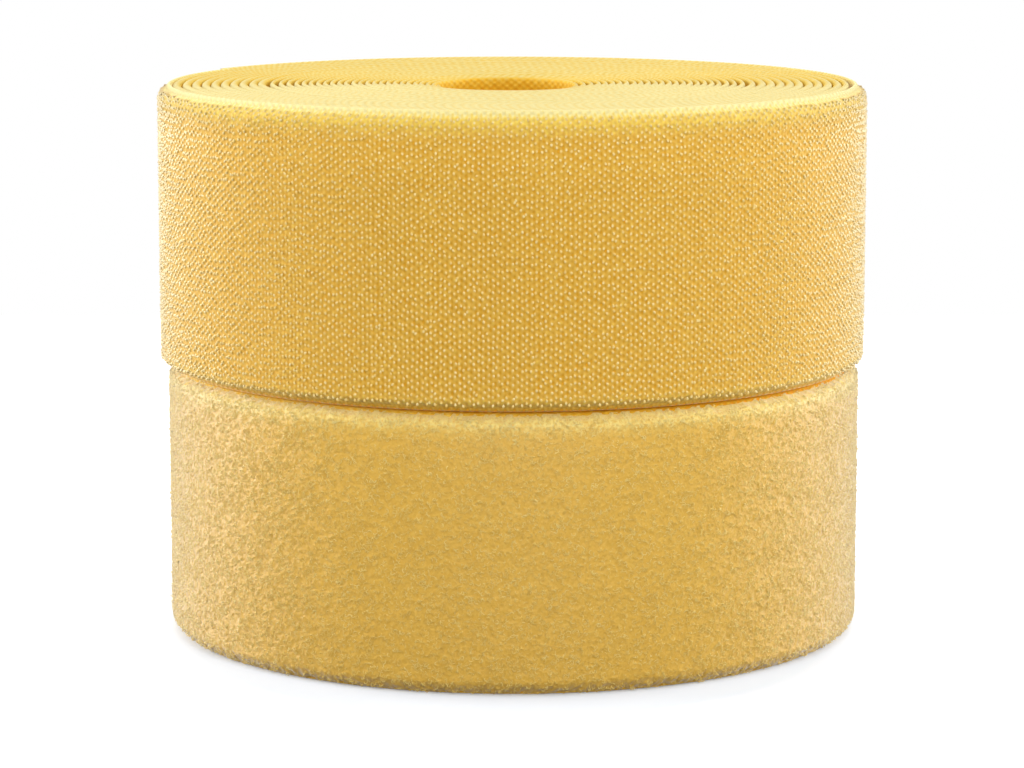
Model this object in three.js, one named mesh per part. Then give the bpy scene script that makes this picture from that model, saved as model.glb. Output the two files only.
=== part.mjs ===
// A stacked pair of woven fastening tapes, a hook tape above a loop tape, each wound into a roll with no core tube.
// Millimetres, +Z up. The origin is on the winding axis, in the plane that the loop roll stands on.
// Each tape runs anticlockwise, seen from above, from its inner end to its free end.

import * as THREE from 'three';

// Sizes of the hook tape
const HOOK_TAPE_WIDTH = 50.8;
const HOOK_STRIP_THICKNESS = 1.0; // woven ground, with its hooks pressed flat between the turns
const HOOK_TURN_GAP = 0.727; // air between two loose turns
const HOOK_PILE_HEIGHT = 1.6; // hooks standing free on the outer turn
const HOOK_SELVEDGE = 2.0; // plain edge without hooks

// Sizes of the loop tape
const LOOP_TAPE_WIDTH = 48.8;
const LOOP_STRIP_THICKNESS = 1.0; // woven ground, with its nap pressed flat between the turns
const LOOP_TURN_GAP = 0.6;
const LOOP_PILE_HEIGHT = 1.9; // nap standing free on the outer turn
const LOOP_SELVEDGE = 1.6;

// Sizes shared by the two rolls, which are wound on the same mandrel
const BORE_RADIUS = 11.4; // at the inner end of the tape
const TIGHT_PITCH = 1.28; // ground to ground in the tight turns round the bore
const TIGHT_TURNS = 24;
const LOOSE_TURNS = 12;

// Sizes of the free ends, which peel off as a chain of short links
const TAIL_LINKS = 5;
const TAIL_LINK_ANGLE = 24; // degrees of the outer turn that one link covers
const PEEL_ANGLE = 30; // degrees that each link can turn outwards from the one before it
const TAIL_TIP_SHORT = 30; // degrees by which the outer end stops short of a whole number of turns

// Places, clearances and facets
const INNER_END_ANGLE = 180; // degrees from +X at which the tape begins
const CLEARANCE = 0.3; // between a piece and the one it lies on or meets
const STEPS_PER_TURN = 24;
const FINE_STEP = 4; // degrees between the facets of the outer turn

const TURN = 2 * Math.PI;

// The values worked out for one tape; angles along the tape are counted in radians from its inner loose end.
function tapeRoll(sizes) {
  const pitch = sizes.thickness + sizes.turnGap;
  const coreRadius = BORE_RADIUS + TIGHT_PITCH * TIGHT_TURNS;
  const tailTip = TURN * LOOSE_TURNS - THREE.MathUtils.degToRad(TAIL_TIP_SHORT);
  const tailRoot = tailTip - THREE.MathUtils.degToRad(TAIL_LINK_ANGLE) * TAIL_LINKS;
  const inner = (angle) => coreRadius + CLEARANCE + (pitch * angle) / TURN;
  const outer = (angle) => inner(angle) + sizes.thickness;
  const pileFoot = (angle) => outer(angle) + CLEARANCE;
  const pileTop = (angle) => outer(angle) + sizes.pileHeight;
  return { ...sizes, pitch, coreRadius, tailTip, tailRoot, inner, outer, pileFoot, pileTop };
}

const hook = tapeRoll({
  name: 'hook',
  colour: 0xd9ae4e,
  pileColour: 0xe3c069,
  width: HOOK_TAPE_WIDTH,
  thickness: HOOK_STRIP_THICKNESS,
  turnGap: HOOK_TURN_GAP,
  pileHeight: HOOK_PILE_HEIGHT,
  selvedge: HOOK_SELVEDGE,
});

const loop = tapeRoll({
  name: 'loop',
  colour: 0xdcb152,
  pileColour: 0xe0b95c,
  width: LOOP_TAPE_WIDTH,
  thickness: LOOP_STRIP_THICKNESS,
  turnGap: LOOP_TURN_GAP,
  pileHeight: LOOP_PILE_HEIGHT,
  selvedge: LOOP_SELVEDGE,
});

// Half the gap that two meeting ends keep, so that faces this far from the hinge line never close up.
function endGap(height) {
  return height * Math.tan(THREE.MathUtils.degToRad(PEEL_ANGLE) / 2) + CLEARANCE / 2;
}

function pointAt(radius, angle, z) {
  const turned = THREE.MathUtils.degToRad(INNER_END_ANGLE) + angle;
  return new THREE.Vector3(radius * Math.cos(turned), radius * Math.sin(turned), z);
}

// Angles from one end of a stretch to the other, with steps no longer than the given one.
function stations(from, to, step) {
  const count = Math.ceil((to - from) / step - 1e-6);
  return Array.from({ length: count + 1 }, (_, i) => from + ((to - from) * i) / count);
}

// Angles of a winding, whose facets lie on the same rays in every turn.
function windingStations(from, to) {
  const step = TURN / STEPS_PER_TURN;
  const angles = [from];
  for (let ray = Math.floor(from / step) + 1; ray * step < to; ray += 1) {
    angles.push(ray * step);
  }
  angles.push(to);
  return angles;
}

// One closed strip with a rectangular section, carried along the given angles.
function stripGeometry(angles, inner, outer, bottom, top) {
  const corners = [];
  for (const angle of angles) {
    corners.push(pointAt(inner(angle), angle, bottom));
    corners.push(pointAt(outer(angle), angle, bottom));
    corners.push(pointAt(outer(angle), angle, top));
    corners.push(pointAt(inner(angle), angle, top));
  }
  const last = corners.length - 4;
  const faces = [0, 1, 2, 0, 2, 3, last, last + 2, last + 1, last, last + 3, last + 2];
  for (let first = 0; first < last; first += 4) {
    for (let side = 0; side < 4; side += 1) {
      const here = first + side;
      const beside = first + ((side + 1) % 4);
      faces.push(here, here + 4, beside + 4, here, beside + 4, beside);
    }
  }
  const geometry = new THREE.BufferGeometry().setFromPoints(corners);
  geometry.setIndex(faces);
  geometry.computeVertexNormals();
  return geometry;
}

// One turn of a spiral wall, with a step of one pitch where its ends meet.
function spiralOutline(startRadius, pitch) {
  const angles = stations(0, TURN, TURN / STEPS_PER_TURN);
  return angles.map((angle) => {
    const point = pointAt(startRadius + (pitch * angle) / TURN, angle, 0);
    return new THREE.Vector2(point.x, point.y);
  });
}

// The tight turns as one thick ring, from the inner end of the tape to the step where the loose turns begin.
function coreGeometry(roll) {
  const outline = new THREE.Shape(spiralOutline(roll.coreRadius, roll.pitch));
  outline.holes.push(new THREE.Path(spiralOutline(BORE_RADIUS, TIGHT_PITCH)));
  return new THREE.ExtrudeGeometry(outline, { depth: roll.width, bevelEnabled: false });
}

// The least distance from the points of one face to another face that lies at least half a turn further on.
function leastGap(points, face, ahead) {
  const nearest = new THREE.Vector3();
  let least = Infinity;
  points.forEach((point, i) => {
    face.forEach((start, j) => {
      if ((j - i) * ahead < STEPS_PER_TURN / 2 || j + 1 === face.length) return;
      new THREE.Line3(start, face[j + 1]).closestPointToPoint(point, true, nearest);
      least = Math.min(least, nearest.distanceTo(point));
    });
  });
  return least;
}

function printWindingGap(roll, angles) {
  const innerFace = angles.map((angle) => pointAt(roll.inner(angle), angle, 0));
  const outerFace = angles.map((angle) => pointAt(roll.outer(angle), angle, 0));
  const gap = Math.min(leastGap(outerFace, innerFace, 1), leastGap(innerFace, outerFace, -1));
  console.log(`${roll.name} winding: least gap between turns ${gap.toFixed(3)} mm`);
}

// The loose turns as one unbroken strip, from the step in the core to the root of the free end.
function windingGeometry(roll) {
  const start = CLEARANCE / roll.coreRadius;
  const root = roll.tailRoot - endGap(roll.thickness / 2) / roll.outer(roll.tailRoot);
  const angles = windingStations(start, root);
  printWindingGap(roll, angles);
  return stripGeometry(angles, roll.inner, roll.outer, 0, roll.width);
}

// A stretch of the outer turn: its ground over the full width, or its pile between the selvedges.
function outerGround(roll, from, to) {
  const angles = stations(from, to, THREE.MathUtils.degToRad(FINE_STEP));
  return stripGeometry(angles, roll.inner, roll.outer, 0, roll.width);
}

function outerPile(roll, from, to) {
  const angles = stations(from, to, THREE.MathUtils.degToRad(FINE_STEP));
  const top = roll.width - roll.selvedge;
  return stripGeometry(angles, roll.pileFoot, roll.pileTop, roll.selvedge, top);
}

function namedMesh(name, geometry, colour) {
  const material = new THREE.MeshStandardMaterial({ color: colour, roughness: 0.9, metalness: 0 });
  const mesh = new THREE.Mesh(geometry, material);
  mesh.name = name;
  return mesh;
}

// The free end, as links that lie along the last stretch of the outer turn.
function tailLinks(roll) {
  const radius = roll.outer(roll.tailTip);
  const groundGap = endGap(roll.thickness / 2) / radius;
  const pileGap = endGap(roll.thickness / 2 + roll.pileHeight) / radius;
  const linkAngle = THREE.MathUtils.degToRad(TAIL_LINK_ANGLE);
  const meshes = [];
  for (let link = 1; link <= TAIL_LINKS; link += 1) {
    const start = roll.tailRoot + (link - 1) * linkAngle;
    const end = start + linkAngle;
    const ground = outerGround(roll, start + groundGap, end - groundGap);
    const pile = outerPile(roll, start + pileGap, end - pileGap);
    meshes.push(namedMesh(`${roll.name}_tail_${link}`, ground, roll.colour));
    meshes.push(namedMesh(`${roll.name}_tail_pile_${link}`, pile, roll.pileColour));
  }
  return meshes;
}

// The pile that shows on the fixed part of the outer turn, from the tip of the free end to its root.
function fixedPile(roll) {
  const gap = endGap(roll.thickness / 2 + roll.pileHeight) / roll.outer(roll.tailRoot);
  return outerPile(roll, roll.tailTip - TURN + gap, roll.tailRoot - gap);
}

function rollGroup(roll, height) {
  const group = new THREE.Group();
  group.position.z = height;
  group.add(namedMesh(`${roll.name}_core`, coreGeometry(roll), roll.colour));
  group.add(namedMesh(`${roll.name}_winding`, windingGeometry(roll), roll.colour));
  group.add(namedMesh(`${roll.name}_pile`, fixedPile(roll), roll.pileColour));
  group.add(...tailLinks(roll));
  return group;
}

const tapePair = new THREE.Group();
tapePair.add(rollGroup(loop, 0));
tapePair.add(rollGroup(hook, loop.width + CLEARANCE));

export default tapePair;
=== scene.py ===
"""Looks of a stacked pair of woven fastening tape rolls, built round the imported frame.

A roll of hook tape stands on a roll of loop tape. Lengths are in metres, with +Z up.
"""

import math

import bpy
import numpy as np
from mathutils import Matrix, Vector


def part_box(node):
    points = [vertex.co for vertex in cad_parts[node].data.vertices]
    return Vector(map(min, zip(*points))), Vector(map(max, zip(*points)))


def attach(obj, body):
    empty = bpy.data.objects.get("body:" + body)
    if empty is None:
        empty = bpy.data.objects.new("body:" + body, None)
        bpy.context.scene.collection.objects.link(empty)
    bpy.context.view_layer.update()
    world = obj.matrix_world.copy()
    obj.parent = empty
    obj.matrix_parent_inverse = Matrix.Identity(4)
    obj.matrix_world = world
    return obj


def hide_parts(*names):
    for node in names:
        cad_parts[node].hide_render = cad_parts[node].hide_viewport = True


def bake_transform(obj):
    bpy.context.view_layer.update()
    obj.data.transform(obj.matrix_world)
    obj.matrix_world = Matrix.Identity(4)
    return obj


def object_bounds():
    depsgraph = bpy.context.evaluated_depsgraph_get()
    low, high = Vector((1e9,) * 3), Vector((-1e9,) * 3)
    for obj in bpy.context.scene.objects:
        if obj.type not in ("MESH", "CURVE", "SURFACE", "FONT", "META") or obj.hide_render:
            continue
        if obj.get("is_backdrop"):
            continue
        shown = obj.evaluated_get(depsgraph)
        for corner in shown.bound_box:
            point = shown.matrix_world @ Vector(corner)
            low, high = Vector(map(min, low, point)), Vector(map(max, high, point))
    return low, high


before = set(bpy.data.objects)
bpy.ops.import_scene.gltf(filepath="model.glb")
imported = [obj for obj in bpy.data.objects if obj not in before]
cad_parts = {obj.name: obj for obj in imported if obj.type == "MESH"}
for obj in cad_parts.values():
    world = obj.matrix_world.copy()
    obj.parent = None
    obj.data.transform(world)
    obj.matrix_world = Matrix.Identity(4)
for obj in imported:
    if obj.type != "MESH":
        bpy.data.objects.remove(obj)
cad_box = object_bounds()

MM = 0.001
TURN = 2 * math.pi

# Winding of both tapes, as the CAD solids have it
BORE_RADIUS = 11.4 * MM
TIGHT_PITCH = 1.28 * MM
TIGHT_TURNS = 24
LOOSE_TURNS = 12
LEAD_GAP = 0.3 * MM
STRIP_THICKNESS = 1.0 * MM
TURN_GAP = {"hook": 0.727 * MM, "loop": 0.6 * MM}
INNER_END = math.pi
TAIL_LINKS = 5
LINK_TURN = 24 / 360
TIP_SHORT = 30 / 360
TIP_TURN = TIGHT_TURNS + LOOSE_TURNS - TIP_SHORT
ROOT_TURN = TIP_TURN - TAIL_LINKS * LINK_TURN

# Stretches of the outer turns: covered by the free end, and then in plain sight up to its root
UNDER_END = TIP_TURN - 1
FIXED_START = UNDER_END
FIXED_END = ROOT_TURN - LINK_TURN / 2
UNDER_START = FIXED_END - 1

# Irregularities of the winding
PITCH_BLEND = 1.5
LEAD_TURNS = 8
HOLE_OFFSET = 0.8 * MM
HOLE_GROWTH = 0.3 * MM
HOLE_DIP = 0.15 * MM
HOLE_FRONT_DIP = 0.9 * MM
HOLE_TURNS = 3.0
UNEVEN_EDGE = 0.12 * MM
UNEVEN_TURN = 0.08 * MM
WAVES = 4
WAVES_PER_TURN = 0.3, 2.6
SEAM_REACH = 0.1 * MM
ASIDE = {"hook": 0.0, "loop": 0.3 * MM}
FINE_STATIONS = 20000

# Shading: how far the tape rolls over below its upper edge, as a share of its width, and how far that turns
# the shading upwards; and the share of the tape's own outward direction in the shading of thin strands
EDGE_ROLL = 0.3
EDGE_TILT = 1.05
NAP_TILT = 0.3
STRAND_OUTWARD = 0.65
SHEEN_TINT = 1.0, 0.98, 0.92
BED_SHEEN_TINT = 1.0, 0.88, 0.55

# Woven ground
TIGHT_LIP = 0.98 * MM
LOOSE_GAP = 0.13 * MM
LOOSE_BLEND = 1
OUTER_LIP = 1.1 * MM
OUTER_BLEND = 0.3
HOOK_BED = 1.35 * MM
BED_UPPER_EDGE = 0.75 * MM, 1.3 * MM, 2.2 * MM, 2.6 * MM
BED_LOWER_EDGE = 0.75 * MM, 1.15 * MM, 1.8 * MM, 2.2 * MM
BED_RISE = 0.0, 0.6, 1.0, 1.0
BED_RECOVERY = 0.02
LIP_ROUNDING = 0.7 * MM
LIP_POINTS = 7
STATION_STEP = 1.75 * MM
# Painted shade on the loop tape's upper edge under the hook roll, in the crevice of the seam
COVERED_PAINTED_SHADE = 0.4
WARP_PITCH = 1.2 * MM
WEFT_PITCH = 1.56 * MM

# Shades of the ground: reaches are shares of the tape's width, the rest are steps on its scale of colours
# The rim's paler shade is painted light from above, weaker on the back than on the pile side
RIM_REACH = 0.04
RIM_ON_BACK = 0.1
PILE_SIDE_PALER = 0.1
# Painted shade down the back below its rim, seen in the hole and between turns, with painted light at the rim
# itself
BACK_REACH = 0.08
BACK_RIM_PAINTED_LIGHT = 0.12
BACK_PAINTED_SHADE = 0.11
RIB_CONTRAST = 0.09
BED_PALER = 0.1

# Hooks
HOOK_COLUMN = 0.78 * MM
HOOK_ROW = 1.2 * MM
HOOK_STEM = 1.5 * MM
HOOK_SINK = 0.1 * MM
HOOK_CROOK = 0.13 * MM
HOOK_WIRE = 0.19 * MM
HOOK_SIDES = 4
HOOK_BENDS = 180, 130, 80, 30, -20
HOOK_WANDER = 0.35 * MM
HOOK_WANDER_CELL = 9 * MM
HOOK_SCATTER = 0.07 * MM
HOOK_TALL = 0.92, 1.03
HOOK_YAW = 0.3
HOOK_LEAN = 0.08
HOOK_MARGIN = 1.0 * MM
HOOK_UPPER_TAPER = 2.6 * MM
HOOK_LOWER_TAPER = 1.5 * MM
HOOK_EDGE_SHARE = 0.45
HOOK_PRESSED = 0.28
HOOK_SECTORS = 4
HOOK_PRESSED_SECTORS = 3

# Napped loops; a lump is its cell in millimetres and its share of the nap's height
NAP_STEP = 0.3 * MM
NAP_HEIGHT = 1.75 * MM
NAP_SINK = 0.02 * MM
NAP_FOOT = 0.2 * MM
NAP_START = ROOT_TURN - 1.1
NAP_LUMPS = (2.6, 0.02), (0.9, 0.02), (0.45, 0.045)
NAP_RAGGED = 0.3 * MM
NAP_RAGGED_CELL = 0.6
NAP_LOWER_MARGIN = 0.2 * MM
NAP_UPPER_MARGIN = 0.6 * MM
NAP_LOWER_TAPER = 2.4 * MM
NAP_UPPER_TAPER = 1.6 * MM
NAP_PRESSED = 0.3
NAP_RECOVERY = 0.012
LOOP_SECTORS = 5
LOOP_PRESSED_SECTORS = 3

# Loose filaments of the nap; the curl and the scale of the rise are in millimetres, sweep and arch in radians
FIBRE_PER_MM2 = 3.6
FIBRE_PRESSED_MORE = 0.3
FIBRE_WIRE = 0.065 * MM
FIBRE_SIDES = 3
FIBRE_RINGS = 4
FIBRE_SWEEP = 0.5, 1.9
FIBRE_CURL = 0.17, 0.42
FIBRE_RISE = 3.0, 0.06
FIBRE_ARCH = 1.9

# Layout of the bake maps, and the corners of one face in them
BAKE_MARGIN = 0.05
BAKE_SPAN = 0.9
BAKE_ROW_SHARE = 0.2
FACE_U = np.array([0, 1, 1, 0])
FACE_V = np.array([0, 0, 1, 1])

# Camera of the photograph
CAMERA_PLACE = (0.0004, -0.6852, 0.1534)
CAMERA_PITCH = math.radians(9.084)
CAMERA_LENS = 131.9
CAMERA_SENSOR = 36.0
CAMERA_CLIP = 0.01

# Floor, world and lamps; a lamp is its place, its size and its radiance
FLOOR_HALF = 0.4
FLOOR_GLOW = 0.2
GLOW_CENTRE = (0, -0.02, 0)
GLOW_START = 0.056
GLOW_LENGTH = 0.04
WORLD_LIGHT = 0.3
LAMP_TARGET = (0, 0, 0.05)
SOFTBOXES = {
    "key_softbox": ((0.15, -0.95, 0.7), (1.2, 0.8), 2.35),
    "top_softbox": ((0, -0.1, 1.15), (0.8, 0.8), 1.3),
    "fill_softbox": ((0.1, -1.2, 0.1), (1.2, 0.4), 2.2),
    "left_softbox": ((-0.9, 0.25, 0.24), (0.8, 0.5), 7.6),
    "right_softbox": ((0.9, 0.25, 0.24), (0.8, 0.5), 5.9),
}


def ease(x):
    """A smooth step from 0 to 1."""
    x = np.clip(x, 0, 1)
    return x * x * (3 - 2 * x)


class Noise:
    """Smooth random values from -1 to 1 over a length and a width, with lumps about one cell wide."""

    def __init__(self, random, length, width, cell):
        self.cell = cell
        self.values = random.uniform(-1, 1, (int(length / cell) + 3, int(width / cell) + 3))

    def at(self, along, height):
        a, b = along / self.cell, height / self.cell
        i, j = a.astype(int), b.astype(int)
        x, y = ease(a - i), ease(b - j)
        low = self.values[i, j] * (1 - x) + self.values[i + 1, j] * x
        high = self.values[i, j + 1] * (1 - x) + self.values[i + 1, j + 1] * x
        return low * (1 - y) + high * y


class Tape:
    """One wound tape.

    Turns are counted from its inner end, lift from its back face and height from its lower edge.
    """

    def __init__(self, name, seed):
        low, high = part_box(f"{name}_winding")
        self.name = name
        self.bottom = low.z - (SEAM_REACH if name == "hook" else 0)
        self.width = high.z - low.z + SEAM_REACH - UNEVEN_EDGE
        self.pitch = STRIP_THICKNESS + TURN_GAP[name]
        self.random = np.random.default_rng(seed)
        self.waves = self.random.uniform(*WAVES_PER_TURN, WAVES), self.random.uniform(0, TURN, WAVES)
        self.fine_turns = np.linspace(0, TIP_TURN, FINE_STATIONS)
        radius = self.back_radius(self.fine_turns)
        steps = TURN * np.diff(self.fine_turns) * (radius[1:] + radius[:-1]) / 2
        self.fine_lengths = np.concatenate([[0], np.cumsum(steps)])

    def uneven(self, turns, shift):
        """A slow irregular wave along the tape, from -1 to 1."""
        waves = (np.sin(TURN * rate * turns + phase + shift) for rate, phase in zip(*self.waves))
        return sum(waves) / WAVES

    def back_radius(self, turns):
        """Distance of the tape's back face from the winding axis."""
        loose = PITCH_BLEND * np.logaddexp(0, (turns - TIGHT_TURNS) / PITCH_BLEND)
        lead = LEAD_GAP * ease((turns - TIGHT_TURNS) / LEAD_TURNS + 0.5)
        wave = UNEVEN_TURN * self.uneven(turns, 0)
        hole = HOLE_GROWTH + HOLE_OFFSET * np.cos(TURN * turns)
        settled = TIGHT_PITCH * turns + (self.pitch - TIGHT_PITCH) * loose + lead + wave
        return BORE_RADIUS + settled + hole * np.exp(-turns / HOLE_TURNS)

    def points(self, turns, lift, height):
        """Places in the frame, as an array with x, y and z last."""
        radius = self.back_radius(turns) + lift
        angle = INNER_END + TURN * turns
        rise = self.bottom + UNEVEN_EDGE * (0.5 + 0.5 * self.uneven(turns, 2)) + height
        x = ASIDE[self.name] + radius * np.cos(angle)
        return np.stack(np.broadcast_arrays(x, radius * np.sin(angle), rise), axis=-1)

    def length_at(self, turns):
        """Distance along the tape from its inner end."""
        return np.interp(turns, self.fine_turns, self.fine_lengths)

    def stations(self, first, last, step):
        """Turns at equal steps along the tape, no longer than the given one."""
        ends = self.length_at(np.array([first, last]))
        count = math.ceil((ends[1] - ends[0]) / step)
        return np.interp(np.linspace(*ends, count + 1), self.fine_lengths, self.fine_turns)

    def middle(self, turn):
        """The point in the middle of the tape's width at one turn."""
        return self.points(np.float64(turn), STRIP_THICKNESS / 2, self.width / 2).tolist()


# Meshes


def new_piece(name, points, faces, ends, material):
    """A mesh with smooth faces and flat ends, both given as lists of arrays.

    Each row of an array is one face, as vertex numbers.
    """
    rows = [*faces, *ends]
    corners = np.concatenate([row.ravel() for row in rows]).astype(np.int32)
    totals = np.concatenate([np.full(len(row), row.shape[1], np.int32) for row in rows])
    smooth = np.arange(len(totals)) < sum(len(row) for row in faces)
    mesh = bpy.data.meshes.new(name)
    mesh.vertices.add(points.size // 3)
    mesh.vertices.foreach_set("co", points.astype(np.float32).ravel())
    mesh.loops.add(len(corners))
    mesh.loops.foreach_set("vertex_index", corners)
    mesh.polygons.add(len(totals))
    mesh.polygons.foreach_set("loop_start", (np.cumsum(totals) - totals).astype(np.int32))
    mesh.polygons.foreach_set("use_smooth", smooth)
    mesh.update(calc_edges=True)
    mesh.materials.append(material)
    piece = bpy.data.objects.new(name, mesh)
    bpy.context.scene.collection.objects.link(piece)
    return piece


def corner_vertices(mesh):
    """The vertex number at each corner of each face."""
    corners = np.empty(len(mesh.loops), np.int32)
    mesh.loops.foreach_get("vertex_index", corners)
    return corners


def give_map(piece, name, corners):
    layer = piece.data.uv_layers.new(name=name)
    layer.data.foreach_set("uv", np.ascontiguousarray(corners, np.float32).ravel())


def keep_values(piece, name, first, second):
    """Keeps two values of each vertex in a map, which the materials read."""
    values = np.stack(np.broadcast_arrays(first, second), axis=-1).reshape(-1, 2)
    give_map(piece, name, values[corner_vertices(piece.data)])


def shade_by(piece, normals):
    """Gives each vertex its own direction for shading, at any length."""
    unit = normals / np.linalg.norm(normals, axis=1, keepdims=True)
    piece.data.normals_split_custom_set_from_vertices(unit)


def face_outwards(piece, angle):
    """Turns the shading of thin strands towards the tape's outward direction.

    Many of them then shade as one face.
    """
    own = np.empty(3 * len(piece.data.vertices), np.float32)
    piece.data.vertices.foreach_get("normal", own)
    outward = np.stack([np.cos(angle), np.sin(angle), np.zeros_like(angle)], axis=-1).reshape(-1, 3)
    shade_by(piece, own.reshape(-1, 3) * (1 - STRAND_OUTWARD) + outward * STRAND_OUTWARD)


def shade_without_ends(piece, ends):
    """Keeps the last faces of a strip, which close its ends, out of the shading of its sides.

    Where two strips meet, no line shows then.
    """
    mesh = piece.data
    normals = np.empty(3 * len(mesh.loops), np.float32)
    mesh.corner_normals.foreach_get("vector", normals)
    sides = 4 * (len(mesh.polygons) - ends)
    own = np.empty((len(mesh.vertices), 3), np.float32)
    own[corner_vertices(mesh)[:sides]] = normals.reshape(-1, 3)[:sides]
    mesh.normals_split_custom_set_from_vertices(own)


def strip_bake_map(steps, around):
    """Corners of a strip's faces laid in rows on a square, and its two end faces in a row of their own."""
    rows = max(1, round(math.sqrt(steps * BAKE_ROW_SHARE)))
    per_row = math.ceil(steps / rows)
    step, side = np.divmod(np.arange(steps * around), around)
    row, column = np.divmod(step, per_row)
    u = (column[:, None] + FACE_U) / per_row
    across = BAKE_MARGIN + BAKE_SPAN * (side[:, None] + FACE_V) / around
    v = (row[:, None] + across) / (rows + 1)
    circle = np.linspace(0, TURN, around, endpoint=False)
    ends = []
    for place in (0.25, 0.75):
        x = place + 0.2 * np.cos(circle)
        y = (rows + 0.5 + 0.4 * np.sin(circle)) / (rows + 1)
        ends.append(np.stack([x, y], axis=-1))
    return np.concatenate([np.stack([u, v], axis=-1).reshape(-1, 2), *ends])


def strip(name, tape, turns, lift, height, material, face):
    """A closed strip along the tape, with its section at each station in lift and height.

    Face is 1 on the pile side and 0 on the back, or less where an edge lies covered, which paints shade into
    that edge.
    """
    count, around = lift.shape
    points = tape.points(turns[:, None], lift, height)
    here = np.arange(count - 1)[:, None] * around + np.arange(around)
    beside = np.roll(here, -1, axis=1)
    quads = np.stack([here, here + around, beside + around, beside], axis=-1).reshape(-1, 4)
    first = np.arange(around)[None, :]
    last = first[:, ::-1] + (count - 1) * around
    piece = new_piece(name, points, [quads], [first, last], material)
    keep_values(piece, "Tape", tape.length_at(turns)[:, None], height)
    keep_values(piece, "Face", np.broadcast_to(face, lift.shape), height / tape.width)
    give_map(piece, "OFBake", strip_bake_map(count - 1, around))
    return piece


def strand_bake_map(count, rings, sides):
    """Corners of strands laid out with a square cell for each strand, its end faces beside its wall."""
    across = math.ceil(math.sqrt(count))
    cell = np.stack(np.divmod(np.arange(count), across), axis=-1) / across
    ring, side = np.divmod(np.arange((rings - 1) * sides), sides)
    u = BAKE_MARGIN + 0.65 * (side[:, None] + FACE_U) / sides
    v = BAKE_MARGIN + BAKE_SPAN * (ring[:, None] + FACE_V) / (rings - 1)
    wall = np.stack([u, v], axis=-1)
    walls = (cell[:, None, None] + wall / across).reshape(-1, 2)
    circle = np.linspace(0, TURN, sides, endpoint=False)
    ends = []
    for place in (0.2, 0.8):
        end = np.stack([0.85 + 0.1 * np.cos(circle), place + 0.1 * np.sin(circle)], axis=-1)
        ends.append((cell[:, None] + end / across).reshape(-1, 2))
    return np.concatenate([walls, *ends])


def tube(path, wire, sides, reference):
    """Rings round each path. Paths hold across, lift and along last; the reference is never along a path."""
    ahead = np.gradient(path, axis=-2)
    ahead /= np.linalg.norm(ahead, axis=-1, keepdims=True)
    side = np.cross(ahead, reference)
    side /= np.linalg.norm(side, axis=-1, keepdims=True)
    out = np.cross(side, ahead)
    turn = np.linspace(0, TURN, sides, endpoint=False)[:, None]
    ring = np.cos(turn) * out[..., None, :] + np.sin(turn) * side[..., None, :]
    return path[..., None, :] + wire * ring


def turned(path, yaw):
    """The same paths turned about the face's normal, by one angle each."""
    c, s = np.cos(yaw)[:, None], np.sin(yaw)[:, None]
    across, lift, along = np.moveaxis(path, -1, 0)
    return np.stack([across * c - along * s, lift, across * s + along * c], axis=-1)


def strands(name, tape, turns, height, tubes, tone, material):
    """Thin closed tubes on the tape's face, each at its own turn and height and with its own tone."""
    count, rings, sides, _ = tubes.shape
    across, lift, along = np.moveaxis(tubes, -1, 0)
    radius = tape.back_radius(turns)[:, None, None] + STRIP_THICKNESS
    places = turns[:, None, None] + along / (TURN * radius)
    points = tape.points(places, STRIP_THICKNESS + lift, height[:, None, None] + across)
    ring = np.arange(rings - 1)[:, None] * sides + np.arange(sides)
    beside = np.roll(ring, -1, axis=1)
    one = np.stack([ring, beside, beside + sides, ring + sides], axis=-1).reshape(-1, 4)
    start = (np.arange(count) * rings * sides)[:, None]
    quads = (start[:, None] + one).reshape(-1, 4)
    foot = start + np.arange(sides)[::-1]
    tip = start + (rings - 1) * sides + np.arange(sides)
    piece = new_piece(name, points, [quads], [foot, tip], material)
    face_outwards(piece, INNER_END + TURN * places)
    rise = np.broadcast_to(np.linspace(0, 1, rings)[None, :, None], lift.shape)
    keep_values(piece, "Tape", tone[:, None, None], rise)
    keep_values(piece, "Face", np.ones_like(lift), (height / tape.width)[:, None, None])
    give_map(piece, "OFBake", strand_bake_map(count, rings, sides))
    return piece


# Materials


def new_material(name, roughness, sheen, sheen_roughness, tint=SHEEN_TINT):
    material = bpy.data.materials.new(name)
    material.use_nodes = True
    shader = material.node_tree.nodes["Principled BSDF"]
    shader.inputs["Roughness"].default_value = roughness
    shader.inputs["Sheen Weight"].default_value = sheen
    shader.inputs["Sheen Roughness"].default_value = sheen_roughness
    shader.inputs["Sheen Tint"].default_value = (*tint, 1.0)
    return material, material.node_tree, shader


def feed(tree, socket, value):
    """Sets a socket to a value, or links it where the value is a socket."""
    if isinstance(value, bpy.types.NodeSocket):
        tree.links.new(value, socket)
    else:
        socket.default_value = value


def add(tree, kind, **values):
    """A new node; values go to its sockets by name."""
    node = tree.nodes.new(kind)
    for name, value in values.items():
        feed(tree, node.inputs[name.replace("_", " ")], value)
    return node


def operate(tree, kind, operation, *values):
    """The results of a new node that works on numbers or vectors; values go to its sockets in order."""
    node = tree.nodes.new(kind)
    node.operation = operation
    for socket, value in zip(node.inputs, values):
        feed(tree, socket, value)
    return node.outputs


def calculate(tree, operation, first, second=0.0):
    return operate(tree, "ShaderNodeMath", operation, first, second)["Value"]


def total(tree, first, *others):
    for other in others:
        first = calculate(tree, "ADD", first, other)
    return first


def product(tree, first, *others):
    for other in others:
        first = calculate(tree, "MULTIPLY", first, other)
    return first


def kept_values(tree, name):
    """The two values kept in a map, as separate sockets."""
    node = tree.nodes.new("ShaderNodeUVMap")
    node.uv_map = name
    parts = add(tree, "ShaderNodeSeparateXYZ", Vector=node.outputs["UV"])
    return parts.outputs["X"], parts.outputs["Y"]


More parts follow.
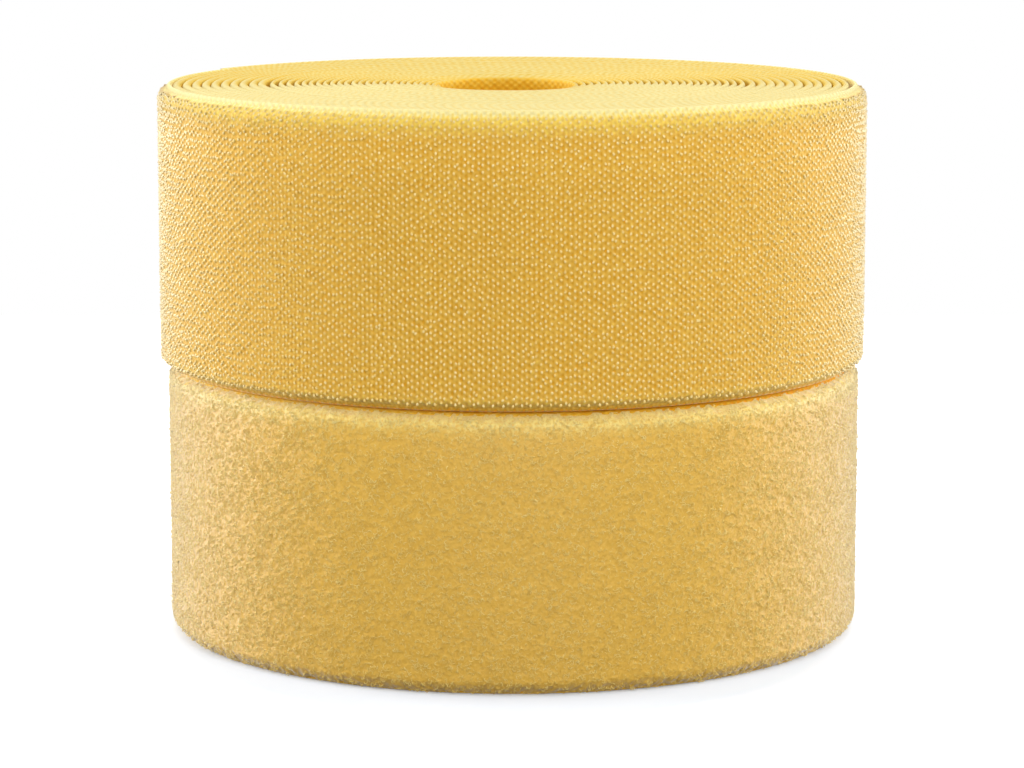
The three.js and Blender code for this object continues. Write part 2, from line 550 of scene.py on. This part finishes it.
def ramp(tree, factor, *stops):
    """Colours along a factor; each stop is a place and a linear colour."""
    node = add(tree, "ShaderNodeValToRGB", Fac=factor)
    elements = node.color_ramp.elements
    for element, (place, colour) in zip((elements[0], elements[1]), (stops[0], stops[-1])):
        element.position = place
        element.color = (*colour, 1.0)
    for place, colour in stops[1:-1]:
        elements.new(place).color = (*colour, 1.0)
    return node.outputs["Color"]


def object_noise(tree, scale, detail):
    place = tree.nodes.new("ShaderNodeTexCoord").outputs["Object"]
    return add(tree, "ShaderNodeTexNoise", Vector=place, Scale=scale, Detail=detail).outputs["Fac"]


def near_top(tree, reach):
    """1 at the upper edge of the tape, falling to 0 at the given share of its width."""
    inside = calculate(tree, "ADD", kept_values(tree, "Face")[1], reach - 1)
    return calculate(tree, "MAXIMUM", calculate(tree, "DIVIDE", inside, reach))


def near_bottom(tree, reach):
    """1 at the lower edge of the tape, falling to 0 at the given share of its width."""
    inside = calculate(tree, "SUBTRACT", reach, kept_values(tree, "Face")[1])
    return calculate(tree, "MAXIMUM", calculate(tree, "DIVIDE", inside, reach))


def edge_shade(tree, near, reach, paler):
    """A step on the scale of colours that is full at one edge of the tape and ends at the given reach."""
    return product(tree, near(tree, reach), paler)


def rolled_normal(tree, tilt):
    """The normal of the pile side, turned upwards where the tape rolls over towards its upper edge."""
    near = near_top(tree, EDGE_ROLL)
    share = product(tree, kept_values(tree, "Face")[0], tilt)
    lean = add(tree, "ShaderNodeCombineXYZ", Z=product(tree, near, near, share)).outputs["Vector"]
    own = tree.nodes.new("ShaderNodeNewGeometry").outputs["Normal"]
    leaning = operate(tree, "ShaderNodeVectorMath", "ADD", own, lean)["Vector"]
    return operate(tree, "ShaderNodeVectorMath", "NORMALIZE", leaning)["Vector"]


def add_bump(tree, shader, height, strength, distance, tilt):
    normal = rolled_normal(tree, tilt)
    bump = add(tree, "ShaderNodeBump", Height=height, Strength=strength, Distance=distance, Normal=normal)
    tree.links.new(bump.outputs["Normal"], shader.inputs["Normal"])


def add_weave(tree, shader, paler, *stops):
    """Colour and bump of a plain weave, deepest in the pits between its threads, with painted shade at its
    lower edge.
    """
    shader.inputs["Specular IOR Level"].default_value = 0.25
    along, height = kept_values(tree, "Tape")
    warp = calculate(tree, "SINE", product(tree, height, TURN / WARP_PITCH))
    weft = calculate(tree, "SINE", product(tree, along, TURN / WEFT_PITCH))
    weave = product(tree, warp, weft)
    threads = total(tree, product(tree, weave, 0.25), object_noise(tree, scale=900.0, detail=2.0))
    # Painted shade along the lower edge, for the crevice of the seam and the contact with the floor
    foot = edge_shade(tree, near_bottom, reach=0.02, paler=-0.6)
    shade = total(tree, product(tree, threads, 0.4), foot, paler)
    tree.links.new(ramp(tree, shade, *stops), shader.inputs["Base Color"])
    add_bump(tree, shader, weave, strength=0.5, distance=0.1 * MM, tilt=EDGE_TILT)


def ground_material():
    """Plain weave, painted paler at its upper edge as light from above, most of all on the pile side, and
    with painted shade down the rest of its back.
    """
    material, tree, shader = new_material("woven_ground", roughness=0.8, sheen=0.0, sheen_roughness=0.3)
    face = kept_values(tree, "Face")[0]
    # Painted light from above along the upper edge
    side = total(tree, product(tree, face, 1 - RIM_ON_BACK), RIM_ON_BACK)
    painted_rim_light = product(tree, near_top(tree, RIM_REACH), side)
    pile_side = total(tree, painted_rim_light, product(tree, face, PILE_SIDE_PALER))
    back = calculate(tree, "SUBTRACT", 1.0, calculate(tree, "ABSOLUTE", face))
    # Painted shade down the back below the rim, and painted light right at the rim
    deep = calculate(tree, "SUBTRACT", 1.0, near_top(tree, BACK_REACH))
    painted_back_shade = total(tree, product(tree, deep, BACK_RIM_PAINTED_LIGHT + BACK_PAINTED_SHADE), -BACK_RIM_PAINTED_LIGHT)
    paler = calculate(tree, "SUBTRACT", pile_side, product(tree, back, back, painted_back_shade))
    add_weave(
        tree, shader, paler,
        (0.0, (0.86, 0.35, 0.004)), (0.1, (0.77, 0.37, 0.008)), (0.24, (0.82, 0.45, 0.022)),
        (0.34, (0.88, 0.54, 0.05)), (0.5, (0.88, 0.60, 0.10)), (1.0, (0.94, 0.81, 0.37)),
    )
    return material


def bed_material(tape):
    """The weave between the hooks, ribbed along their columns, with loose filaments that catch the light and
    painted light near its upper edge.
    """
    material, tree, shader = new_material(
        "hook_bed", roughness=0.8, sheen=0.8, sheen_roughness=0.45, tint=BED_SHEEN_TINT
    )
    face = kept_values(tree, "Face")[0]
    # Painted light from above: a broad band on the pile side and a narrow one at the upper edge
    broad_painted_light = product(tree, edge_shade(tree, near_top, reach=0.1, paler=0.5), face)
    narrow_painted_light = edge_shade(tree, near_top, reach=0.03, paler=0.4)
    selvedge = edge_shade(tree, near_bottom, reach=0.06, paler=0.3)
    start, end = tape.length_at(np.array([UNDER_END, TIP_TURN]))
    ribs = TURN * math.ceil((end - start) / HOOK_COLUMN) / (end - start)
    from_start = calculate(tree, "SUBTRACT", kept_values(tree, "Tape")[0], start)
    rib = product(tree, calculate(tree, "COSINE", product(tree, from_start, ribs)), RIB_CONTRAST)
    add_weave(
        tree, shader, total(tree, broad_painted_light, narrow_painted_light, selvedge, rib, BED_PALER),
        (0.0, (0.96, 0.40, 0.003)), (0.14, (0.70, 0.35, 0.018)), (0.25, (0.77, 0.42, 0.045)),
        (0.4, (0.81, 0.48, 0.07)), (0.7, (0.97, 0.69, 0.10)), (1.0, (0.98, 0.84, 0.36)),
    )
    return material


def hook_material():
    """Nylon monofilament, with painted shade at the foot, a painted highlight at the crook and painted light
    near the tape's upper edge.
    """
    material, tree, shader = new_material("hook_filament", roughness=0.35, sheen=1.0, sheen_roughness=0.42)
    tree.links.new(rolled_normal(tree, EDGE_TILT), shader.inputs["Normal"])
    tone, rise = kept_values(tree, "Tape")
    # Painted light near the upper edge; the ramp along each hook paints shade at its foot and a highlight at
    # its crook
    painted_rim_light = edge_shade(tree, near_top, reach=0.16, paler=0.1)
    colour = ramp(
        tree, total(tree, rise, product(tree, tone, 0.2), painted_rim_light),
        (0.2, (0.88, 0.56, 0.10)), (0.5, (0.92, 0.65, 0.18)), (0.9, (0.97, 0.77, 0.33)),
    )
    tree.links.new(colour, shader.inputs["Base Color"])
    return material


def nap_material():
    """The mass of the nap: soft felt, uneven in colour, with painted light near the tape's upper edge."""
    material, tree, shader = new_material("napped_felt", roughness=0.5, sheen=1.0, sheen_roughness=0.44)
    patches = object_noise(tree, scale=420.0, detail=2.0)
    tangle = object_noise(tree, scale=2600.0, detail=3.0)
    # Painted light from above near the upper edge
    painted_rim_light = edge_shade(tree, near_top, reach=0.1, paler=0.6)
    colour = ramp(
        tree, total(tree, product(tree, patches, 0.2), product(tree, tangle, 0.8), painted_rim_light),
        (0.3, (0.72, 0.395, 0.028)), (0.7, (0.80, 0.49, 0.066)), (1.0, (0.98, 0.79, 0.25)),
    )
    tree.links.new(colour, shader.inputs["Base Color"])
    add_bump(tree, shader, tangle, strength=0.45, distance=0.2 * MM, tilt=NAP_TILT)
    return material


def fibre_material():
    """Loose filaments of the nap, each with its own shade, with painted light near the tape's upper edge."""
    material, tree, shader = new_material("loop_filament", roughness=0.5, sheen=1.0, sheen_roughness=0.44)
    tree.links.new(rolled_normal(tree, NAP_TILT), shader.inputs["Normal"])
    tone = kept_values(tree, "Tape")[0]
    # Painted light from above near the upper edge
    painted_rim_light = edge_shade(tree, near_top, reach=0.11, paler=0.4)
    colour = ramp(
        tree, total(tree, product(tree, tone, 0.35), 0.5, painted_rim_light),
        (0.1, (0.74, 0.43, 0.047)), (0.5, (0.84, 0.57, 0.11)), (1.0, (0.97, 0.78, 0.29)),
    )
    tree.links.new(colour, shader.inputs["Base Color"])
    return material


# Woven grounds


def ground_strip(name, tape, first, last, material):
    """The woven ground with its two rounded edges, and the bed that carries the hooks on the outer turn."""
    turns = tape.stations(first, last, STATION_STEP)
    places = [TIGHT_TURNS, TIGHT_TURNS + LOOSE_BLEND, UNDER_START - OUTER_BLEND, UNDER_START]
    loose = tape.pitch - LOOSE_GAP
    thickness = np.interp(turns, places, [TIGHT_LIP, loose, loose, OUTER_LIP])[:, None]
    bed = (HOOK_BED if tape.name == "hook" else 0) * ease((turns - UNDER_END) / BED_RECOVERY)[:, None]
    sweep = np.linspace(0, math.pi, LIP_POINTS)
    lip = (1 - np.cos(sweep)) / 2
    inset = np.broadcast_to(LIP_ROUNDING * (1 - np.sin(sweep)), (len(turns), LIP_POINTS))
    rise = thickness + bed * np.array(BED_RISE)
    lower_edge = np.broadcast_to(BED_LOWER_EDGE, rise.shape)
    upper_edge = np.broadcast_to(BED_UPPER_EDGE[::-1], rise.shape)
    front = INNER_END + TURN * turns
    dip = HOLE_DIP + HOLE_FRONT_DIP * (1 - np.sin(front)) / 2
    top = tape.width - (dip * np.exp(-turns / HOLE_TURNS))[:, None]
    height = np.concatenate([inset, lower_edge, top - upper_edge, top - inset], axis=1)
    lift = np.concatenate([lip * thickness, rise, rise[:, ::-1], lip[::-1] * thickness], axis=1)
    # The loop tape's upper edge under the hook roll gets painted shade for the crevice of the seam
    covered = (tape.name == "loop") * ease(turns - UNDER_START)[:, None]
    lower = np.broadcast_to(lip, inset.shape)
    upper = lip[::-1] * (1 - covered) - COVERED_PAINTED_SHADE * covered
    shown = np.ones_like(rise)
    face = np.concatenate([lower, shown, shown * (1 - covered), upper], axis=1)
    piece = strip(name, tape, turns, lift, height, material, face)
    shade_without_ends(piece, ends=2)
    return piece


# Hooks


def hook_places(tape, first, last):
    """Turn and height of each hook, in columns whose rows are staggered, and which way each one faces."""
    columns = tape.stations(first, last, HOOK_COLUMN)
    room = tape.width - 2 * HOOK_MARGIN
    rows = round(room / HOOK_ROW)
    odd = np.arange(len(columns)) % 2
    along = tape.length_at(columns) - tape.length_at(first)
    wander = Noise(tape.random, along[-1], 0, HOOK_WANDER_CELL).at(along, np.zeros_like(along))
    row = room / rows * (np.arange(rows)[None, :] + 0.25 + 0.5 * odd[:, None])
    inside = ease(np.minimum(row, room - row) / HOOK_UPPER_TAPER)
    height = HOOK_MARGIN + row + HOOK_WANDER * wander[:, None] * inside
    height = height + tape.random.normal(0, HOOK_SCATTER, height.shape)
    turns = np.broadcast_to(columns[:, None], height.shape)
    facing = np.broadcast_to(odd[:, None], height.shape)
    return turns.ravel(), height.ravel(), facing.ravel()


def hook_field(name, tape, turns, height, facing, material, pressed=1.0):
    """Hooks cut from upright loops, leaning a little, facing up and down in turn, and lower at the edges."""
    random = tape.random
    count = len(turns)
    bends = np.radians(HOOK_BENDS)
    across = np.concatenate([[0], HOOK_CROOK * (1 + np.cos(bends))]) - HOOK_CROOK / 2
    lift = np.concatenate([[-HOOK_SINK], HOOK_STEM + HOOK_CROOK * np.sin(bends)])
    path = np.stack([across, lift, np.zeros_like(lift)], axis=-1)
    tubes = tube(path, HOOK_WIRE, HOOK_SIDES, np.array([0.0, 0.0, 1.0]))
    tubes = np.broadcast_to(tubes, (count, *tubes.shape))
    yaw = facing * math.pi + random.normal(0, HOOK_YAW, count)
    tubes = turned(tubes, yaw[:, None])
    inside = ease(np.minimum(height / HOOK_LOWER_TAPER, (tape.width - height) / HOOK_UPPER_TAPER))
    tall = random.uniform(*HOOK_TALL, count) * (HOOK_EDGE_SHARE + (1 - HOOK_EDGE_SHARE) * inside)
    tubes[..., 1] *= tall[:, None, None] * pressed
    lean = random.normal(0, HOOK_LEAN, (2, count))[:, :, None, None]
    tubes[..., 0] += lean[0] * tubes[..., 1]
    tubes[..., 2] += lean[1] * tubes[..., 1]
    return strands(name, tape, turns, height, tubes, random.uniform(-1, 1, count), material)


# Napped loops


class Nap:
    """Height of the nap above the ground, on the outer turn and where the free end presses it."""

    def __init__(self, tape):
        self.tape = tape
        self.start = tape.length_at(NAP_START)
        length = tape.length_at(TIP_TURN) - self.start
        cells = [*(cell for cell, _ in NAP_LUMPS), NAP_RAGGED_CELL]
        *self.lumps, self.ragged = (Noise(tape.random, length, tape.width, cell * MM) for cell in cells)

    def lift(self, turns, height):
        along = self.tape.length_at(turns) - self.start
        along, height = np.broadcast_arrays(along, height)
        uneven = sum(share * lump.at(along, height) for (_, share), lump in zip(NAP_LUMPS, self.lumps))
        ragged = NAP_RAGGED * self.ragged.at(along, height)
        above = (height - NAP_LOWER_MARGIN + ragged) / NAP_LOWER_TAPER
        below = (self.tape.width - NAP_UPPER_MARGIN - height + ragged) / NAP_UPPER_TAPER
        pressed = NAP_PRESSED + (1 - NAP_PRESSED) * ease((turns - UNDER_END) / NAP_RECOVERY)
        return NAP_HEIGHT * np.sqrt(ease(np.minimum(above, below))) * (1 + uneven) * pressed


def shade_as_field(piece, nap, turns, lift, height):
    """Gives a strip of nap the shading of the whole field, so that its ends don't show."""
    step = turns[1] - turns[0]
    reach = TURN * step * (nap.tape.back_radius(turns)[:, None] + lift)
    before, after = (nap.lift(turns[:, None] + way * step, height) for way in (-1, 1))
    below, above = (nap.lift(turns[:, None], height + way * NAP_STEP) for way in (-1, 1))
    slope_along = (after - before) / (2 * reach)
    slope_up = (above - below) / (2 * NAP_STEP)
    angle = INNER_END + TURN * turns[:, None]
    x = np.cos(angle) + slope_along * np.sin(angle)
    y = np.sin(angle) - slope_along * np.cos(angle)
    shade_by(piece, np.stack([x, y, -slope_up], axis=-1).reshape(-1, 3))


def nap_strip(name, nap, first, last, material):
    """The mass of the nap: a lumpy band that thins out towards both edges of the tape."""
    tape = nap.tape
    turns = tape.stations(first, last, NAP_STEP)
    ends = NAP_LOWER_MARGIN / 2, tape.width - NAP_UPPER_MARGIN / 2
    inside = np.linspace(*ends, round((ends[1] - ends[0]) / NAP_STEP))
    height = np.broadcast_to(inside, (len(turns), len(inside)))
    lift = nap.lift(turns[:, None], height) - NAP_SINK
    foot = np.full((len(turns), 1), -NAP_FOOT)
    lift = STRIP_THICKNESS + np.concatenate([foot, lift, foot], axis=1)
    height = np.concatenate([height[:, :1], height, height[:, -1:]], axis=1)
    piece = strip(name, tape, turns, lift, height, material, 1.0)
    shade_as_field(piece, nap, turns, lift, height)
    return piece


def fibre_field(name, nap, first, last, material, pressed=1.0):
    """Loose curls of filament that lie in the surface of the nap and stand a little out of it."""
    tape = nap.tape
    random = tape.random
    ends = tape.length_at(np.array([first, last]))
    room = tape.width - NAP_LOWER_MARGIN - NAP_UPPER_MARGIN
    share = min(1, FIBRE_PRESSED_MORE + pressed)
    count = int(FIBRE_PER_MM2 * share * (ends[1] - ends[0]) * room / MM**2)
    turns = random.uniform(first, last, count)
    height = NAP_LOWER_MARGIN + room * random.uniform(0, 1, count)
    sweep = np.linspace(-1, 1, FIBRE_RINGS) * random.uniform(*FIBRE_SWEEP, (count, 1))
    curl = random.uniform(*FIBRE_CURL, (count, 1)) * MM
    rise = random.gamma(*FIBRE_RISE, (count, 1)) * MM
    arch = np.cos(np.linspace(-1, 1, FIBRE_RINGS) * FIBRE_ARCH)
    reach = curl[:, 0] + 2 * FIBRE_WIRE
    height = np.clip(height, reach, tape.width - NAP_UPPER_MARGIN / 2 - reach)
    path = np.stack([curl * np.sin(sweep), rise * arch, curl * np.cos(sweep)], axis=-1)
    path = turned(path, random.uniform(0, TURN, count))
    tubes = tube(path, FIBRE_WIRE, FIBRE_SIDES, np.array([0.0, 1.0, 0.0]))
    tubes[..., 1] *= pressed
    tubes[..., 1] += nap.lift(turns, height)[:, None, None]
    return strands(name, tape, turns, height, tubes, random.uniform(-1, 1, count), material)


# Assembly


def tail_stretches():
    """First and last turn of each stretch of a free end, with the two links that it joins."""
    for link in range(1, TAIL_LINKS + 1):
        first = ROOT_TURN + (link - 1.5) * LINK_TURN
        yield first, first + LINK_TURN, link - 1, link
    yield TIP_TURN - LINK_TURN / 2, TIP_TURN, TAIL_LINKS, TAIL_LINKS


def sectors(first, last, count):
    """First and last turn of equal stretches, numbered from 1."""
    edges = np.linspace(first, last, count + 1)
    return enumerate(zip(edges, edges[1:]), 1)


def body_name(tape, link):
    """The body of a link, or of the roll itself for link 0."""
    return f"{tape.name}_roll" if link == 0 else f"{tape.name}_tail_{link}"


def place_tail_piece(piece, tape, stretch, node):
    """Puts a stretch of the free end that rides on one link onto that link's body; a stretch between two
    links stays in place.
    """
    first, last, from_link, to_link = stretch
    if from_link == to_link:
        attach(piece, body_name(tape, to_link))
    else:
        start, end = tape.middle(first), tape.middle(last)
        body_name(tape, from_link)
        body_name(tape, to_link)
        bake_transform(piece)
        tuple(start)
        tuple(end)
    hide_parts(f"{tape.name}_{node}_{to_link}")


def place_roll_piece(piece, tape, slot, *nodes):
    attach(piece, f"{tape.name}_roll")
    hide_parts(*nodes)


def build_grounds(tape, material, outer):
    """The ground of a whole tape, with a material of its own for the outer turn."""
    inside = ground_strip(f"{tape.name}_ground", tape, 0, UNDER_END, material)
    outside = ground_strip(f"{tape.name}_outer_ground", tape, UNDER_END, FIXED_END, outer)
    for piece in inside, outside:
        place_roll_piece(piece, tape, "ground", f"{tape.name}_core", f"{tape.name}_winding")
    for number, stretch in enumerate(tail_stretches(), 1):
        piece = ground_strip(f"{tape.name}_free_end_{number}", tape, *stretch[:2], outer)
        place_tail_piece(piece, tape, stretch, "tail")


def build_hooks(tape, material):
    """The hooks of the outer turn and the free end, and the pressed ones beneath the free end."""
    standing = hook_places(tape, UNDER_END, TIP_TURN)
    lying = hook_places(tape, UNDER_START, UNDER_END)

    def field(name, places, first, last, pressed=1.0):
        chosen = (places[0] >= first) & (places[0] < last)
        return hook_field(name, tape, *(values[chosen] for values in places), material, pressed)

    for number, ends in sectors(FIXED_START, FIXED_END, HOOK_SECTORS):
        place_roll_piece(field(f"hook_field_{number}", standing, *ends), tape, "pile", "hook_pile")
    for number, ends in sectors(UNDER_START, UNDER_END, HOOK_PRESSED_SECTORS):
        piece = field(f"hook_pressed_{number}", lying, *ends, HOOK_PRESSED)
        place_roll_piece(piece, tape, "pile", "hook_pile")
    for number, stretch in enumerate(tail_stretches(), 1):
        piece = field(f"hook_free_field_{number}", standing, *stretch[:2])
        place_tail_piece(piece, tape, stretch, "tail_pile")


def build_loops(tape, felt, filament):
    """The nap of the outer turn and the free end, and the pressed nap beneath the free end."""
    nap = Nap(tape)

    def field(name, first, last, pressed=1.0):
        yield nap_strip(f"{name}_nap", nap, first, last, felt)
        yield fibre_field(f"{name}_fibres", nap, first, last, filament, pressed)

    for number, ends in sectors(FIXED_START, FIXED_END, LOOP_SECTORS):
        for piece in field(f"loop_field_{number}", *ends):
            place_roll_piece(piece, tape, "pile", "loop_pile")
    for number, ends in sectors(UNDER_START, UNDER_END, LOOP_PRESSED_SECTORS):
        for piece in field(f"loop_pressed_{number}", *ends, NAP_PRESSED):
            place_roll_piece(piece, tape, "pile", "loop_pile")
    for number, stretch in enumerate(tail_stretches(), 1):
        for piece in field(f"loop_free_field_{number}", *stretch[:2]):
            place_tail_piece(piece, tape, stretch, "tail_pile")


# Stage


def build_camera():
    data = bpy.data.cameras.new("camera")
    data.lens = CAMERA_LENS
    data.sensor_width = CAMERA_SENSOR
    data.clip_start = CAMERA_CLIP
    camera = bpy.data.objects.new("camera", data)
    camera.location = CAMERA_PLACE
    camera.rotation_euler = (math.pi / 2 - CAMERA_PITCH, 0, 0)
    bpy.context.scene.collection.objects.link(camera)
    bpy.context.scene.camera = camera


def seen_directly(tree):
    """1 for a ray from the camera, a mirror or a clear surface, and 0 for one that only lights something."""
    path = tree.nodes.new("ShaderNodeLightPath").outputs
    mirrored = calculate(tree, "MAXIMUM", path["Is Glossy Ray"], path["Is Transmission Ray"])
    return calculate(tree, "MAXIMUM", path["Is Camera Ray"], mirrored)


def floor_material():
    """White that keeps the contact shadow; further out, its glow towards the camera makes it plain white."""
    material = bpy.data.materials.new("white_floor")
    material.use_nodes = True
    tree = material.node_tree
    shader = tree.nodes["Principled BSDF"]
    seen = seen_directly(tree)
    colour = ramp(tree, seen, (0.0, (0.08, 0.08, 0.08)), (1.0, (0.75, 0.81, 0.91)))
    tree.links.new(colour, shader.inputs["Base Color"])
    place = tree.nodes.new("ShaderNodeTexCoord").outputs["Object"]
    away = operate(tree, "ShaderNodeVectorMath", "DISTANCE", place, GLOW_CENTRE)["Value"]
    outside = calculate(tree, "DIVIDE", calculate(tree, "SUBTRACT", away, GLOW_START), GLOW_LENGTH)
    rising = calculate(tree, "MAXIMUM", total(tree, outside, FLOOR_GLOW), FLOOR_GLOW)
    level = calculate(tree, "MINIMUM", rising, 1.0)
    tree.links.new(product(tree, seen, level), shader.inputs["Emission Strength"])
    shader.inputs["Emission Color"].default_value = (1.0, 1.0, 1.0, 1.0)
    shader.inputs["Roughness"].default_value = 0.9
    shader.inputs["Specular IOR Level"].default_value = 0.1
    return material


def build_floor(half):
    corners = np.array([(-half, -half, 0), (half, -half, 0), (half, half, 0), (-half, half, 0)])
    new_piece("floor", corners, [np.array([[0, 1, 2, 3]])], [], floor_material())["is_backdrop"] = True


def build_softbox(name, place, size, radiance):
    """A rectangular lamp that glows evenly towards the middle of the pair."""
    data = bpy.data.lights.new(name, "AREA")
    data.shape = "RECTANGLE"
    data.size, data.size_y = size
    data.energy = radiance * size[0] * size[1] * math.pi
    lamp = bpy.data.objects.new(name, data)
    lamp.location = place
    lamp.rotation_euler = (Vector(LAMP_TARGET) - Vector(place)).to_track_quat("-Z", "Y").to_euler()
    bpy.context.scene.collection.objects.link(lamp)


def build_world(strength):
    """Even white light, which looks plain white itself."""
    world = bpy.data.worlds.new("studio")
    world.use_nodes = True
    tree = world.node_tree
    background = tree.nodes["Background"]
    background.inputs["Color"].default_value = (1.0, 1.0, 1.0, 1.0)
    level = calculate(tree, "MAXIMUM", seen_directly(tree), strength)
    tree.links.new(level, background.inputs["Strength"])
    bpy.context.scene.world = world


def build_stage():
    build_floor(FLOOR_HALF)
    build_world(WORLD_LIGHT)
    for name, lamp in SOFTBOXES.items():
        build_softbox(name, *lamp)
    bpy.context.scene.view_settings.view_transform = "Standard"


build_camera()
build_stage()

hook_tape = Tape("hook", seed=11)
loop_tape = Tape("loop", seed=23)
ground = ground_material()
build_grounds(hook_tape, ground, bed_material(hook_tape))
build_grounds(loop_tape, ground, ground)
build_hooks(hook_tape, hook_material())
build_loops(loop_tape, nap_material(), fibre_material())

bpy.context.view_layer.update()
boxes = {"cad": cad_box, "visual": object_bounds()}
{name: [list(corner) for corner in box] for name, box in boxes.items()}
